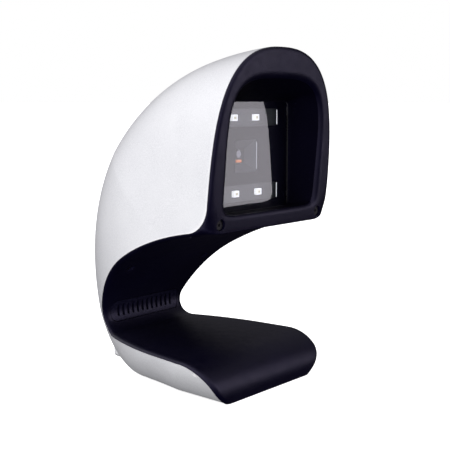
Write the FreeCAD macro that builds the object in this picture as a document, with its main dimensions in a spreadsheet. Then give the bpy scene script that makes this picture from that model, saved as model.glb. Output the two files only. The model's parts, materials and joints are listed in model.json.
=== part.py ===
import FreeCAD, Part

# Hands-free desktop barcode scanner: a C-shaped stand with a silver back shell and a black inner skin.
# Frame: millimetres, +Z up, X to the scanner's own left-right, and the reading window faces -Y.
# The origin is on the table, under the middle of the bounding box.

import math
import os
import re

import Sketcher

V = FreeCAD.Vector
doc = FreeCAD.newDocument("desktop_scanner")

# ---------------------------------------------------------------- driving dimensions

DIMENSIONS = [
    # body: a section through the middle, seen from the side, is two arcs above a floor line
    ("centre_y", -46.3), ("centre_z", 48.0),          # every side section is drawn round this centre
    ("crown_y", -53.6), ("crown_z", 45.3), ("crown_radius", 108.0),
    ("tail_radius", 40.0), ("keel_z", -5.2),
    ("half_width", 42.4), ("side_power", 2.5),
    ("boxy_power", 5.0), ("tail_power", 2.2), ("tail_angle", -19.0),
    ("boxy_above", 59.0), ("boxy_below", 42.0), ("boxy_rate", 1.6),
    ("brow_lift", 1.4), ("brow_start", 79.0), ("brow_span", 16.0),   # the crown rises a little to the front
    # mouth: the open side of the C, a chain of tangent arcs
    ("bezel_lean", 5.05), ("chin_z", 75.5), ("chin_slope", 5.0),
    ("head_arc_radius", 140.0), ("head_arc_turn", 24.0),
    ("throat_radius", 65.0), ("throat_turn", 34.0), ("heel_radius", 8.5),
    ("foot_length", 54.7), ("instep_radius", 26.5), ("instep_turn", 36.5),
    ("toe_radius", 11.4), ("toe_turn", 58.7),
    # skins
    ("shell_wall", 2.4), ("cover_wall", 3.2), ("rim_height", 1.45), ("rim_round", 2.0),
    ("chin_radius", 13.0),
    ("seam_gap", 0.15), ("base_top", 2.6), ("base_rim", 1.2), ("foot_lift", 0.2),
    # hood and window
    ("hood_half_width", 33.0), ("hood_bottom_z", 82.8), ("hood_top_z", 142.4), ("hood_wall", 1.6),
    ("hood_top_power", 3.4), ("hood_corner_power", 7.0), ("hood_back_y", -36.4),
    ("window_half_width", 27.5), ("window_bottom_z", 82.0),
    ("window_top_z", 131.0), ("pane_thickness", 1.5), ("plate_thickness", 1.6),
    ("slot_height", 8.0), ("upper_slot_z", 123.9), ("lower_slot_z", 89.6),
    ("upper_led_spacing", 15.2), ("lower_led_spacing", 16.0), ("upper_led_x", 0.0), ("lower_led_x", 1.5),
    ("led_size", 3.3), ("led_height", 1.6),
    ("funnel_z", 106.5), ("funnel_width", 15.0), ("funnel_throat", 6.4), ("funnel_depth", 4.0),
    ("lens_rise", 0.8), ("barrel_radius", 2.3), ("lens_radius", 1.7),
    # sound strip in the throat, and the outlet at the back of the base
    ("grille_width", 46.0), ("grille_height", 10.0), ("grille_z", 22.5), ("grille_depth", 1.2),
    ("grille_slots", 12), ("slot_pitch", 3.3), ("slot_width", 1.5), ("slot_margin", 1.9),
    ("outlet_width", 24.0), ("outlet_y", 45.3), ("outlet_top", 13.8),
    # electronics
    ("board_thickness", 1.6), ("led_board_y", -32.2), ("bracket_y", -29.8), ("engine_y", -28.2),
    ("main_board_width", 50.0), ("main_board_height", 46.0), ("main_board_y", 9.8), ("main_board_z", 93.0),
    ("socket_width", 15.2), ("socket_height", 10.6), ("socket_depth", 14.0), ("socket_z", 2.8),
    ("jack_width", 11.8), ("jack_height", 6.8), ("jack_z", 4.4),
    # fasteners
    ("screw_radius", 1.2), ("screw_head_radius", 2.1), ("screw_head_height", 1.2), ("recess_radius", 2.5),
    ("screw_sink", 1.1), ("recess_depth", 2.3),
    ("chin_screw_x", 34.4), ("chin_screw_z", 79.6), ("cover_screw_x", 25.8), ("cover_screw_y", 17.1),
    ("cover_screw_z", 51.9), ("cover_screw_tilt", 40.5),
    ("bracket_screw_x", 32.0), ("bracket_screw_low", 87.0), ("bracket_screw_high", 119.0),
    ("board_screw_x", 22.0), ("board_screw_z", 20.0),
]

sheet = doc.addObject("Spreadsheet::Sheet", "Dimensions")
for row, (name, value) in enumerate(DIMENSIONS, start=1):
    sheet.set("A%d" % row, name)
    sheet.set("B%d" % row, str(value))
    sheet.setAlias("B%d" % row, name)
doc.recompute()
D = {name: float(sheet.get(name)) for name, _ in DIMENSIONS}

# ---------------------------------------------------------------- body surface


def ray_to_circle(angle, y, z, radius):
    """Distance from the section centre, along angle, to the far side of a circle centred at y, z."""
    along = y * math.cos(angle) + z * math.sin(angle)
    return along + math.sqrt(along * along - y * y - z * z + radius * radius)


def body_reach(angle):
    """Distance from the section centre to the outline in the middle plane."""
    crown_y, crown_z = D["crown_y"] - D["centre_y"], D["crown_z"] - D["centre_z"]
    keel = D["keel_z"] - D["centre_z"]
    tail_z = keel + D["tail_radius"]
    gap = D["crown_radius"] - D["tail_radius"]
    tail_y = crown_y + math.sqrt(gap * gap - (tail_z - crown_z) ** 2)
    stretch = D["crown_radius"] / gap
    crown_end = math.atan2(crown_z + (tail_z - crown_z) * stretch, crown_y + (tail_y - crown_y) * stretch)
    tail_end = math.atan2(keel, tail_y)
    if angle > crown_end:
        brow = max(0.0, (math.degrees(angle) - D["brow_start"]) / D["brow_span"])
        return ray_to_circle(angle, crown_y, crown_z, D["crown_radius"]) + D["brow_lift"] * brow ** 2
    if angle > tail_end:
        return ray_to_circle(angle, tail_y, tail_z, D["tail_radius"])
    return keel / math.sin(angle)


def boxiness(angle):
    """How square the body is across: round at the tail, boxy over the head and at the foot."""
    turn = math.degrees(angle) - D["tail_angle"]
    share = min(1.0, turn / D["boxy_above"] if turn > 0 else -turn / D["boxy_below"])
    return D["tail_power"] + (D["boxy_power"] - D["tail_power"]) * share ** D["boxy_rate"]


def body_section(x, inset):
    """Closed side section of the body at x, with the skin moved in by inset."""
    width_share = (abs(x) / (D["half_width"] - inset)) ** D["side_power"]
    points = []
    for degrees in range(-105, 106, 7):
        angle = math.radians(degrees)
        reach = (body_reach(angle) - inset) * (1 - width_share) ** (1 / boxiness(angle))
        points.append(V(x, D["centre_y"] + reach * math.cos(angle),
                        D["centre_z"] + reach * math.sin(angle)))
    curve = Part.BSplineCurve()
    curve.interpolate(points)
    return Part.Wire([curve.toShape(), Part.LineSegment(points[-1], points[0]).toShape()])


def body_solid(inset):
    """The whole body, moved in by inset, as a loft of side sections from one cheek to the other."""
    shares = [0.2, 0.4, 0.56, 0.7, 0.8, 0.88, 0.935, 0.97, 0.988, 0.9965, 0.9998]
    places = [-s for s in reversed(shares)] + [0.0] + shares
    sections = [body_section(share * (D["half_width"] - inset), inset) for share in places]
    return Part.makeLoft(sections, True, False)


# ---------------------------------------------------------------- mouth of the C

FAR = 160.0


def mouth_solid(offset, chin_radius=0.0):
    """The air in front of the scanner, grown into it by offset, as a prism right across."""
    lean = math.radians(D["bezel_lean"])
    forward = V(0, -math.cos(lean), -math.sin(lean))
    up = V(0, -math.sin(lean), math.cos(lean))
    on_bezel = V(0, D["centre_y"], D["centre_z"]) - forward * offset
    chin = on_bezel + up * ((D["chin_z"] - D["centre_z"]) / math.cos(lean))
    heading = math.radians(-D["chin_slope"])
    chin = V(0, chin.y, D["chin_z"] + offset * math.cos(heading))
    edges = [Part.LineSegment(chin + up * FAR, chin)]
    arcs = [
        (D["head_arc_radius"] + offset, -D["head_arc_turn"]),
        (D["throat_radius"] + offset, -D["throat_turn"]),
        (D["heel_radius"] + offset, D["head_arc_turn"] + D["throat_turn"] + D["chin_slope"] - 180),
        (None, D["foot_length"]),
        (D["instep_radius"] - offset, D["instep_turn"]),
        (D["toe_radius"] - offset, D["toe_turn"]),
        (None, D["toe_radius"]),
    ]
    point = chin
    for radius, amount in arcs:
        if radius is None:
            end = point + V(0, math.cos(heading), math.sin(heading)) * amount
            edges.append(Part.LineSegment(point, end))
        else:
            turn = math.radians(amount)
            side = math.copysign(radius, turn)
            centre = point + V(0, -math.sin(heading), math.cos(heading)) * side

            def on_arc(share):
                ahead = heading + turn * share
                return centre - V(0, -math.sin(ahead), math.cos(ahead)) * side

            end = on_arc(1.0)
            edges.append(Part.Arc(point, on_arc(0.5), end))
            heading += turn
        point = end
    corners = [point, V(0, -FAR, point.z), V(0, -FAR, (chin + up * FAR).z), chin + up * FAR]
    edges += [Part.LineSegment(a, b) for a, b in zip(corners, corners[1:])]
    wire = Part.Wire([edge.toShape() for edge in edges])
    prism = Part.Face(wire).extrude(V(2 * FAR, 0, 0))
    prism.translate(V(-FAR, 0, 0))
    if chin_radius:
        chin_edges = [e for e in prism.Edges
                      if all(abs(v.Y - chin.y) + abs(v.Z - chin.z) < 1e-4 for v in e.Vertexes)]
        prism = prism.makeFillet(chin_radius, chin_edges)
    return prism


def slab(low, high):
    """Everything between two heights."""
    return Part.makeBox(2 * FAR, 2 * FAR, high - low, V(-FAR, -FAR, low))


# ---------------------------------------------------------------- document helpers


def bound(text):
    """An expression in which every driving dimension's name points into the sheet."""
    return re.sub(r"[a-z_]+", lambda m: "Dimensions." + m.group() if m.group() in D else m.group(), text)


def bind(obj, **settings):
    for prop, text in settings.items():
        obj.setExpression(prop.replace("__", "."), bound(str(text)))


def place(obj, x, y, z):
    bind(obj, Placement__Base__x=x, Placement__Base__y=y, Placement__Base__z=z)


def block(label, width, depth, height, y, z, x="0"):
    """A box centred on x, from y backwards and from z upwards."""
    obj = doc.addObject("Part::Box", label)
    bind(obj, Length=width, Width=depth, Height=height)
    place(obj, "(%s) - (%s) / 2" % (x, width), y, z)
    return obj


def rod(label, radius, length, x, y, z, along="Y"):
    """A cylinder from x, y, z backwards along Y or upwards along Z."""
    obj = doc.addObject("Part::Cylinder", label)
    bind(obj, Radius=radius, Height=length)
    if along == "Y":
        obj.Placement = FreeCAD.Placement(V(), FreeCAD.Rotation(V(1, 0, 0), -90))
    place(obj, x, y, z)
    return obj


def feature(label, shape):
    obj = doc.addObject("Part::Feature", label)
    obj.Shape = shape
    obj.Placement = FreeCAD.Placement()
    return obj


def fuse(label, parts):
    obj = doc.addObject("Part::MultiFuse", label)
    obj.Shapes = parts
    return obj


def overlap(label, parts):
    obj = doc.addObject("Part::MultiCommon", label)
    obj.Shapes = parts
    return obj


def cut(label, base, tools):
    obj = doc.addObject("Part::Cut", label)
    obj.Base = base
    obj.Tool = tools[0] if len(tools) == 1 else fuse(label + "_tools", tools)
    return obj


def board(label, width, height, thickness, y, z, hole_x="0", hole_z="0", hole_radius="0", flat=False):
    """A circuit board with four holes, standing across Y, or lying flat, centred on x = 0."""
    body = doc.addObject("PartDesign::Body", label)
    role = "XY_Plane" if flat else "XZ_Plane"
    plane = next(o for o in body.Origin.OriginFeatures if o.Role == role)
    sketch = body.newObject("Sketcher::SketchObject", label + "_outline")
    sketch.AttachmentSupport = [(plane, "")]
    sketch.MapMode = "FlatFace"
    corners = [V(-5, -5, 0), V(5, -5, 0), V(5, 5, 0), V(-5, 5, 0)]
    for a, b in zip(corners, corners[1:] + corners[:1]):
        sketch.addGeometry(Part.LineSegment(a, b), False)
    for side in range(4):
        sketch.addConstraint(Sketcher.Constraint("Coincident", side, 2, (side + 1) % 4, 1))
        sketch.addConstraint(Sketcher.Constraint("Vertical" if side % 2 else "Horizontal", side))
    sketch.addConstraint(Sketcher.Constraint("Symmetric", 0, 1, 2, 1, -1, 1))
    sizes = [(Sketcher.Constraint("DistanceX", 0, 1, 0, 2, 10.0), width),
             (Sketcher.Constraint("DistanceY", 1, 1, 1, 2, 10.0), height)]
    if hole_radius != "0":
        for number, (sx, sz) in enumerate([(1, 1), (-1, 1), (-1, -1), (1, -1)]):
            sketch.addGeometry(Part.Circle(V(3 * sx, 3 * sz, 0), V(0, 0, 1), 1.0), False)
            circle = 4 + number
            sizes.append((Sketcher.Constraint("Radius", circle, 1.0), hole_radius))
            sizes.append((Sketcher.Constraint("DistanceX", -1, 1, circle, 3, 3.0 * sx),
                          "%d * (%s)" % (sx, hole_x)))
            sizes.append((Sketcher.Constraint("DistanceY", -1, 1, circle, 3, 3.0 * sz),
                          "%d * (%s)" % (sz, hole_z)))
    for constraint, text in sizes:
        index = sketch.addConstraint(constraint)
        sketch.setExpression("Constraints[%d]" % index, bound(text))
    pad = body.newObject("PartDesign::Pad", label + "_pad")
    pad.Profile = sketch
    pad.Midplane = True
    bind(pad, Length=thickness)
    body.Tip = pad
    place(body, "0", "(%s) + (%s) / 2" % (y, thickness if not flat else "0"), z)
    return body


# ---------------------------------------------------------------- hood outlines


def bezel_y(z):
    """Where the leaning front plane of the head stands at height z."""
    return D["centre_y"] - (z - D["centre_z"]) * math.tan(math.radians(D["bezel_lean"]))


def opening_outline(half_width, bottom, top, top_power, grow, y_at):
    """Closed outline of the hood: a superellipse with a rounder top half and a squarer bottom half."""
    middle = bottom + 0.4 * (top - bottom)
    points = []
    for step in range(48):
        turn = 2 * math.pi * (step + 0.5) / 48
        across, rise = math.cos(turn), math.sin(turn)
        power = 2 / (top_power if rise > 0 else D["hood_corner_power"])
        reach = (top + grow - middle) if rise > 0 else (middle - bottom + grow)
        x = math.copysign(abs(across) ** power, across) * (half_width + grow)
        z = middle + math.copysign(abs(rise) ** power, rise) * reach
        points.append(V(x, y_at(z), z))
    curve = Part.BSplineCurve()
    curve.interpolate(points, PeriodicFlag=True)
    return Part.Wire(curve.toShape())


def hood_solid(grow, ahead):
    """The hood's inside, grown by its wall: it narrows from the bezel to the window, and runs on ahead."""
    front = opening_outline(D["hood_half_width"], D["hood_bottom_z"], D["hood_top_z"], D["hood_top_power"],
                            grow, bezel_y)
    back = opening_outline(D["window_half_width"], D["window_bottom_z"], D["window_top_z"],
                           D["hood_corner_power"], grow, lambda z: D["hood_back_y"])
    solid = Part.makeLoft([front, back], True, True)
    if ahead:
        solid = solid.fuse(Part.Face(front).extrude(V(0, -ahead, 0)))
    return solid


# ---------------------------------------------------------------- skins


def rim_edges(shape, front, height):
    """The outer edges of a skin that lie on the given front surface and on the body surface."""
    chosen = []
    for edge in shape.Edges:
        middle = edge.valueAt((edge.FirstParameter + edge.LastParameter) / 2)
        on_front = front.distToShape(Part.Vertex(middle))[0] < 0.01
        on_body = whole_skin.distToShape(Part.Vertex(middle))[0] < 0.01
        if on_front and on_body and middle.z > height:
            chosen.append(edge)
    return chosen


whole = body_solid(0.0)
whole_skin = whole.Shells[0]
cavity = body_solid(D["shell_wall"] + D["seam_gap"])
mouth = mouth_solid(0.0)
above_table = slab(D["foot_lift"], 2 * FAR)
sharp = whole.cut(mouth)
c_solid = sharp.makeFillet(D["rim_round"], rim_edges(sharp, mouth.Shells[0], 1.0))
chin_y = bezel_y(D["chin_z"])


def mitre_half(side):
    """Half of space above (side 1) or below (side -1) the mitre where the bezel meets the cover."""
    seam = V(-FAR, chin_y, D["chin_z"] + side * D["seam_gap"])
    along, away = V(0, FAR, FAR), V(0, -2 * FAR * side, 2 * FAR * side)
    corners = [seam - along, seam + along, seam + along + away, seam - along + away, seam - along]
    return Part.Face(Part.makePolygon(corners)).extrude(V(2 * FAR, 0, 0))


def centred_box(width, depth, height, y, z):
    return Part.makeBox(width, depth, height, V(-width / 2, y, z))


# ---------------------------------------------------------------- fasteners


def turned(obj, direction):
    obj.Placement = FreeCAD.Placement(V(), FreeCAD.Rotation(V(0, 0, 1), direction))
    return obj


def screw(label, x, y, z, length, direction):
    """A pan-head screw: the top of its head is at x, y, z, and its shank runs along direction."""
    parts = []
    sizes = [("shank", "screw_radius", length), ("head", "screw_head_radius", "screw_head_height"),
             ("drive", "screw_radius * 0.6", "screw_head_height * 0.6")]
    for name, radius, height in sizes:
        cylinder = doc.addObject("Part::Cylinder", "%s_%s" % (label, name))
        bind(cylinder, Radius=radius, Height=height)
        turned(cylinder, direction)
        place(cylinder, x, y, z)
        parts.append(cylinder)
    return cut(label, fuse(label + "_solid", parts[:2]), parts[2:])


COVER_TILT = math.radians(D["cover_screw_tilt"])
COVER_NORMAL = V(0, math.sin(COVER_TILT), math.cos(COVER_TILT))
SIDES = (-1, 1)


def cover_rod(radius, start, length, side):
    """A cylinder on a cover screw's axis, from start mm behind the cover's face."""
    face = V(side * D["cover_screw_x"], D["cover_screw_y"], D["cover_screw_z"])
    return Part.makeCylinder(radius, length, face + COVER_NORMAL * start, COVER_NORMAL)


def chin_rod(radius, start, length, side):
    """A cylinder on a bezel screw's axis, from start mm behind the bezel's face."""
    face = V(side * D["chin_screw_x"], bezel_y(D["chin_screw_z"]) + start, D["chin_screw_z"])
    return Part.makeCylinder(radius, length, face, V(0, 1, 0))


BORE = D["screw_radius"] + 0.05
CLEARANCE = D["screw_radius"] + 0.3

# ---------------------------------------------------------------- outer shell

shell_skin = c_solid.common(slab(D["base_rim"], 2 * FAR))
outlet = centred_box(D["outlet_width"], 16, D["outlet_top"] - D["foot_lift"], D["outlet_y"] - 16, D["foot_lift"])
shell_skin = shell_skin.fuse(outlet).cut(mouth_solid(D["rim_height"], D["chin_radius"]))
shell_skin = shell_skin.cut(body_solid(D["shell_wall"]))
outlet_room = centred_box(D["outlet_width"] - 3, 40, 2 * FAR, D["outlet_y"] - 41.5, -FAR)
shell_skin = shell_skin.cut(outlet_room.common(slab(-FAR, D["outlet_top"] - 1.5)))
post_room = body_solid(1.0)
for side in SIDES:
    post = cover_rod(3.4, D["cover_wall"] + D["seam_gap"], 40, side).common(post_room)
    shell_skin = shell_skin.fuse(post).cut(cover_rod(BORE, 0, 16, side))
jack_hole = block("jack_hole", "jack_width + 0.8", "20", "jack_height + 0.8", "outlet_y - 12", "jack_z - 0.4")
outer_shell = cut("outer_shell", feature("shell_skin", shell_skin), [jack_hole])

# ---------------------------------------------------------------- black bezel, hood and front cover

rim_band = c_solid.common(mouth_solid(D["rim_height"] - D["seam_gap"], D["chin_radius"])).cut(cavity)
inner_skin = c_solid.common(mouth_solid(D["cover_wall"])).common(cavity)
black_skin = rim_band.fuse(inner_skin).common(above_table)

bezel_shape = black_skin.common(mitre_half(1)).fuse(hood_solid(D["hood_wall"], 0))
for side in SIDES:
    for z in (D["bracket_screw_low"], D["bracket_screw_high"]):
        x, front = side * D["bracket_screw_x"], bezel_y(z) + 0.5 * D["cover_wall"]
        post = Part.makeCylinder(2.6, D["bracket_y"] - front, V(x, front, z), V(0, 1, 0))
        bore = Part.makeCylinder(BORE, 8, V(x, D["bracket_y"] - 7, z), V(0, 1, 0))
        bezel_shape = bezel_shape.fuse(post.common(cavity)).cut(bore)
    bezel_shape = bezel_shape.cut(chin_rod(D["recess_radius"], -4, 4 + D["recess_depth"], side))
    bezel_shape = bezel_shape.cut(chin_rod(CLEARANCE, 0, 6, side))
bezel_shape = bezel_shape.cut(hood_solid(0, 20))
bezel_hood = feature("bezel_hood", bezel_shape)

cover_shape = black_skin.common(mitre_half(-1))
for side in SIDES:
    boss = chin_rod(2.9, 3.4, 8.0, side).common(cavity)
    cover_shape = cover_shape.fuse(boss).cut(chin_rod(BORE, 3, 10, side))
    cover_shape = cover_shape.cut(cover_rod(D["recess_radius"], -4, 4 + D["recess_depth"], side))
    cover_shape = cover_shape.cut(cover_rod(CLEARANCE, 0, 8, side))


def grille_zone(grow):
    """A rounded block that the sound strip fills."""
    zone = centred_box(D["grille_width"] + 2 * grow, 40, D["grille_height"] + 2 * grow, 10, D["grille_z"] - grow)
    along_y = [e for e in zone.Edges if e.BoundBox.YLength > 30]
    return zone.makeFillet(D["grille_height"] * 0.3 + grow, along_y)


cover_shape = cover_shape.cut(mouth_solid(D["grille_depth"] + 0.05).common(grille_zone(0.1)))
cover_shape = cover_shape.cut(grille_zone(-2.0))
front_cover = feature("front_cover", cover_shape)

grille_shape = mouth_solid(D["grille_depth"]).cut(mouth).common(grille_zone(0.0))
slots = []
for number in range(int(D["grille_slots"])):
    x = (number - (D["grille_slots"] - 1) / 2) * D["slot_pitch"]
    slot = Part.makeBox(D["slot_width"], 40, D["grille_height"] - 2 * D["slot_margin"],
                        V(x - D["slot_width"] / 2, 10, D["grille_z"] + D["slot_margin"]))
    slots.append(slot.makeFillet(0.49 * D["slot_width"], [e for e in slot.Edges if e.BoundBox.YLength > 30]))
speaker_grille = feature("speaker_grille", grille_shape.cut(Part.makeCompound(slots)))

# ---------------------------------------------------------------- base

behind_toe = slab(-FAR, FAR).cut(mouth_solid(D["cover_wall"] + D["seam_gap"]))
plate_rim = body_solid(0.3).common(slab(D["foot_lift"], D["base_rim"] - 0.1))
plate_core = cavity.common(slab(D["foot_lift"], D["base_top"]))
plate_shape = plate_rim.fuse(plate_core).common(behind_toe)
plate_shape = plate_shape.cut(centred_box(D["outlet_width"] + 0.4, 30, 8, D["outlet_y"] - 16.2, -2))
base_skin = feature("base_skin", plate_shape)
FOOT_PLACES = [("17", "-40"), ("-17", "-40"), ("14", "8"), ("-14", "8")]
SCREW_PLACES = [("16", "-28"), ("-16", "-28"), ("14", "-4"), ("-14", "-4")]
pockets = [rod("foot_pocket_%d" % n, "5.1", "1.5", x, y, "0", "Z") for n, (x, y) in enumerate(FOOT_PLACES)]
pockets += [rod("head_pocket_%d" % n, "recess_radius", "2.0", x, y, "-0.1", "Z")
            for n, (x, y) in enumerate(SCREW_PLACES)]
pockets += [rod("plate_hole_%d" % n, "screw_radius + 0.3", "6", x, y, "0", "Z")
            for n, (x, y) in enumerate(SCREW_PLACES)]
base_plate = cut("base_plate", base_skin, pockets)
rubber_feet = fuse("rubber_feet", [rod("foot_%d" % n, "5", "1.45", x, y, "0", "Z")
                                   for n, (x, y) in enumerate(FOOT_PLACES)])
base_screws = fuse("base_screws", [screw("base_screw_%d" % n, x, y, "0.65", "9", V(0, 0, 1))
                                   for n, (x, y) in enumerate(SCREW_PLACES)])
bores = [rod("ballast_bore_%d" % n, "screw_radius + 0.05", "20", x, y, "0", "Z")
         for n, (x, y) in enumerate(SCREW_PLACES)]
ballast = cut("ballast", block("ballast_block", "44", "46", "9.5", "-36", "3.2"), bores)

# ---------------------------------------------------------------- window and light plate

gasket_block = block("gasket_block", "2 * window_half_width + 3", "0.4", "window_top_z - window_bottom_z + 3",
                     "hood_back_y", "window_bottom_z - 1.5")
gasket_hole = block("gasket_hole", "2 * window_half_width", "2", "window_top_z - window_bottom_z",
                    "hood_back_y - 1", "window_bottom_z")
window_gasket = cut("window_gasket", gasket_block, [gasket_hole])
scan_window = block("scan_window", "2 * window_half_width + 3", "pane_thickness",
                    "window_top_z - window_bottom_z + 3", "hood_back_y + 0.4", "window_bottom_z - 1.5")
PLATE_Y = "hood_back_y + pane_thickness + 1.0"
plate_cuts = [block("slot_" + name, "2 * window_half_width - 8", "4", "slot_height", "%s - 1" % PLATE_Y,
                    "%s_slot_z - slot_height / 2" % name) for name in ("upper", "lower")]


def funnel(label, grow):
    """The camera's square funnel: wide at the plate and narrow at the lens."""
    wedge = doc.addObject("Part::Wedge", label)
    bind(wedge, Xmin="-funnel_width / 2 - %s" % grow, Xmax="funnel_width / 2 + %s" % grow,
         Zmin="-funnel_width / 2 - %s" % grow, Zmax="funnel_width / 2 + %s" % grow,
         Ymin="0", Ymax="funnel_depth",
         X2min="-funnel_throat / 2 - %s" % grow, X2max="funnel_throat / 2 + %s" % grow,
         Z2min="-funnel_throat / 2 - %s" % grow, Z2max="funnel_throat / 2 + %s" % grow)
    place(wedge, "0", PLATE_Y, "funnel_z")
    return wedge


plate_blank = fuse("plate_blank", [block("plate_block", "2 * window_half_width + 4", "plate_thickness",
                                         "window_top_z - window_bottom_z + 4", PLATE_Y,
                                         "window_bottom_z - 2"), funnel("funnel_outside", 1.0)])
reflector_plate = cut("reflector_plate", plate_blank, plate_cuts + [funnel("funnel_inside", 0.0)])
leds = {}
led_boards = {}
for name in ("upper", "lower"):
    led_boards[name] = board("led_board_" + name, "50", "9.4", "1.2", "led_board_y", "%s_slot_z" % name,
                             "23.2", "0", "0")
    chips = [block("led_%s_%d" % (name, number), "led_size", "led_height", "led_size - 0.5",
                   "led_board_y - led_height", "%s_slot_z - led_size / 2 + 0.25" % name,
                   "%s_led_x + %d * %s_led_spacing / 2" % (name, side, name))
             for number, side in enumerate(SIDES)]
    leds[name] = fuse("leds_" + name, chips)

# ---------------------------------------------------------------- reading engine

bracket_box = Part.makeBox(80, 1.5, 52, V(-40, D["bracket_y"], 80.5))
bracket_blank = feature("bracket_blank", cavity.common(bracket_box))
bracket_cuts = [block("bracket_window", "13", "6", "14", "bracket_y - 2", "funnel_z - 7.2")]
bracket_places = [("%d * bracket_screw_x" % side, z) for side in SIDES
                  for z in ("bracket_screw_low", "bracket_screw_high")]
bracket_cuts += [rod("bracket_hole_%d" % n, "screw_radius + 0.3", "6", x, "bracket_y - 2", z)
                 for n, (x, z) in enumerate(bracket_places)]
engine_bracket = cut("engine_bracket", bracket_blank, bracket_cuts)
bracket_screws = fuse("bracket_screws", [
    screw("bracket_screw_%d" % n, x, "bracket_y + 1.5 + screw_head_height", z, "7.5", V(0, -1, 0))
    for n, (x, z) in enumerate(bracket_places)])
camera_housing = cut("camera_housing", block("housing_block", "18", "10", "18", "engine_y", "funnel_z - 9"),
                     [rod("housing_bore", "barrel_radius + 0.05", "8", "0", "engine_y - 1", "funnel_z + lens_rise"),
                      block("sensor_pocket", "9.6", "4", "9.6", "engine_y + 8.6", "funnel_z - 4.8"),
                      rod("light_path", "barrel_radius - 0.3", "6", "0", "engine_y + 4", "funnel_z + lens_rise")])
barrel_blank = rod("barrel_blank", "barrel_radius", "7", "0", "engine_y - 1.5", "funnel_z + lens_rise")
barrel_bore = rod("barrel_bore", "lens_radius", "9", "0", "engine_y - 2", "funnel_z + lens_rise")
lens_barrel = cut("lens_barrel", barrel_blank, [barrel_bore])
lens_glass = rod("lens_glass", "lens_radius", "1.6", "0", "engine_y - 1.2", "funnel_z + lens_rise")
aiming_led = block("aiming_led", "3.4", "1.4", "1.2", "engine_y - 1.4", "funnel_z - 3.1")
sensor_board = board("sensor_board", "24", "22", "board_thickness", "engine_y + 10", "funnel_z",
                     "10.2", "9.2", "1.1")
image_sensor = block("image_sensor", "8.4", "1.2", "8.4", "engine_y + 8.8", "funnel_z - 4.2")

# ---------------------------------------------------------------- decoder board and wiring

main_board = board("main_board", "main_board_width", "main_board_height", "board_thickness", "main_board_y",
                   "main_board_z", "board_screw_x", "board_screw_z", "screw_radius + 0.3")
processor = block("processor", "14", "1.5", "14", "main_board_y - 1.5", "main_board_z - 3")
CHIPS = [("8", "1.2", "6", "-13", "-16"), ("6", "1.0", "5", "14", "-14"), ("5", "2.2", "5", "15", "6"),
         ("10", "2.6", "4", "-12", "8"), ("3", "1.2", "3", "5", "-15"), ("3", "1.2", "3", "0", "-15")]
board_chips = fuse("board_chips", [
    block("chip_%d" % n, w, t, h, "main_board_y - %s" % t, "main_board_z + %s" % z, x)
    for n, (w, t, h, x, z) in enumerate(CHIPS)])
board_places = [("%d * board_screw_x" % sx, "main_board_z + %d * board_screw_z" % sz)
                for sx in SIDES for sz in SIDES]
chassis_posts = [rod("chassis_post_%d" % n, "2.4", "2.4", x, "main_board_y + board_thickness", z)
                 for n, (x, z) in enumerate(board_places)]
chassis_box = Part.makeBox(56, 2, 50, V(-28, D["main_board_y"] + 3.9, 69))
chassis_blank = feature("chassis_blank", cavity.common(chassis_box))
chassis_bores = [rod("chassis_bore_%d" % n, "screw_radius + 0.05", "9", x, "main_board_y", z)
                 for n, (x, z) in enumerate(board_places)]
chassis = cut("chassis", fuse("chassis_solid", [chassis_blank] + chassis_posts), chassis_bores)
board_screws = fuse("board_screws", [
    screw("board_screw_%d" % n, x, "main_board_y - screw_head_height", z, "6.6", V(0, 1, 0))
    for n, (x, z) in enumerate(board_places)])


def strip(width, thickness, start, middle, end):
    """A flat cable bent through three points in the middle plane."""
    lift = V(0, 0, thickness)
    lower, upper = Part.Arc(start, middle, end), Part.Arc(start + lift, middle + lift, end + lift)
    ends = [Part.LineSegment(end, end + lift), Part.LineSegment(start + lift, start)]
    wire = Part.Wire(Part.sortEdges([c.toShape() for c in (lower, upper, *ends)])[0])
    face = Part.Face(wire)
    face.translate(V(-width / 2, 0, 0))
    return face.extrude(V(width, 0, 0))


board_back = D["engine_y"] + 10 + D["board_thickness"]
ribbon_z = D["funnel_z"] + 3
ribbon_cable = feature("ribbon_cable", strip(12, 0.3, V(0, board_back, ribbon_z),
                                             V(0, (board_back + D["main_board_y"]) / 2, ribbon_z - 3),
                                             V(0, D["main_board_y"], ribbon_z)))
speaker = block("speaker", "20", "5", "10", "outlet_y - 7.2", "grille_z + 0.5")
cable_socket = cut("cable_socket", block("socket_block", "socket_width", "socket_depth", "socket_height",
                                         "outlet_y - 1.6 - socket_depth", "socket_z"),
                   [block("jack_bore", "jack_width", "socket_depth - 2.5", "jack_height",
                          "outlet_y - 1.6 - socket_depth + 2.5", "jack_z")])

# ---------------------------------------------------------------- fasteners that show

bezel_screws = fuse("bezel_screws", [
    screw("bezel_screw_%d" % n, "%d * chin_screw_x" % side, "%.4f + screw_sink" % bezel_y(D["chin_screw_z"]),
          "chin_screw_z", "8.5", V(0, 1, 0))
    for n, side in enumerate(SIDES)])
throat_screws = fuse("throat_screws", [
    screw("throat_screw_%d" % n, "%d * cover_screw_x" % side, "cover_screw_y + screw_sink * %.4f" % COVER_NORMAL.y,
          "cover_screw_z + screw_sink * %.4f" % COVER_NORMAL.z, "12", COVER_NORMAL)
    for n, side in enumerate(SIDES)])

# ---------------------------------------------------------------- check and write

NODES = [outer_shell, front_cover, bezel_hood, speaker_grille, base_plate, rubber_feet, base_screws, ballast,
         window_gasket, scan_window, reflector_plate, led_boards["upper"], led_boards["lower"], leds["upper"],
         leds["lower"], engine_bracket, bracket_screws, camera_housing, lens_barrel, lens_glass, aiming_led,
         sensor_board, image_sensor, main_board, processor, board_chips, chassis, board_screws, ribbon_cable,
         speaker, cable_socket, bezel_screws, throat_screws]

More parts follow.
